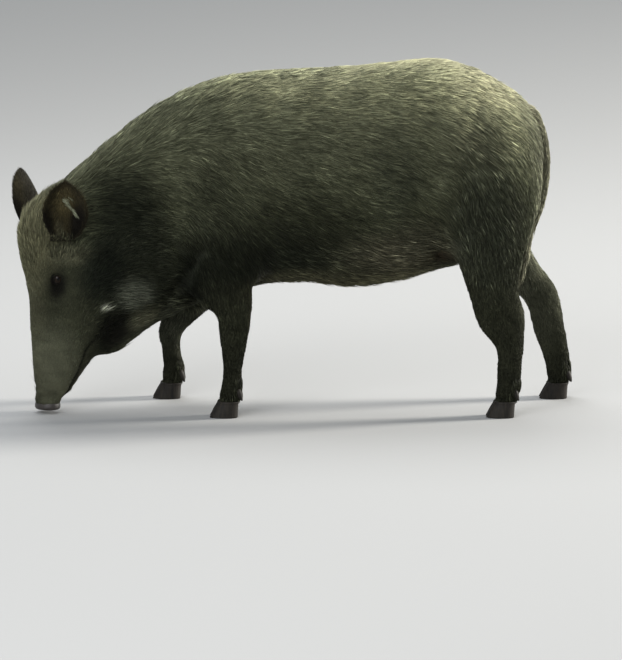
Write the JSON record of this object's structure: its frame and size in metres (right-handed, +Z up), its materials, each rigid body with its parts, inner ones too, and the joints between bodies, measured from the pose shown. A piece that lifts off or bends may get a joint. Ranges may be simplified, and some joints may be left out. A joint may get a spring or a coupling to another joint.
{
  "type": "wild boar",
  "caption": "Life-size still model of a wild boar sow grazing: standing with lowered head, long straight snout, upright leaf ears, short bristly coat, cloven feet and a hanging tail.",
  "frame": {"origin": "on the floor, under the middle of the whole animal's bounding box", "axes": "the animal faces -X, its left side is -Y and +Z is up; the hooves stand on Z = 0"},
  "size_m": [1.2248, 0.388, 0.7681],
  "materials": {
    "coat": "coarse grizzled bristles, buff tips over a dark base",
    "coat_dark": "short dark bristles",
    "ear_brown": "short dark brown hair",
    "eye": "wet, glossy dark brown",
    "snout_skin": "bare, moist grey-brown skin",
    "horn": "dark hoof horn, slightly worn"
  },
  "bodies": {
    "root": {"dewclaw_front_left_inner": "horn", "dewclaw_front_left_outer": "horn", "dewclaw_front_right_inner": "horn", "dewclaw_front_right_outer": "horn", "dewclaw_hind_left_inner": "horn", "dewclaw_hind_left_outer": "horn", "dewclaw_hind_right_inner": "horn", "dewclaw_hind_right_outer": "horn", "ear_left": "ear_brown", "ear_right": "ear_brown", "eye_left": "eye", "eye_right": "eye", "head": "coat", "hoof_front_left_inner": "horn", "hoof_front_left_outer": "horn", "hoof_front_right_inner": "horn", "hoof_front_right_outer": "horn", "hoof_hind_left_inner": "horn", "hoof_hind_left_outer": "horn", "hoof_hind_right_inner": "horn", "hoof_hind_right_outer": "horn", "leg_front_left": "coat_dark", "leg_front_right": "coat_dark", "leg_hind_left": "coat_dark", "leg_hind_right": "coat_dark", "neck": "coat", "snout": "snout_skin", "tail": "coat_dark", "trunk": "coat"}
  },
  "joints": []
}
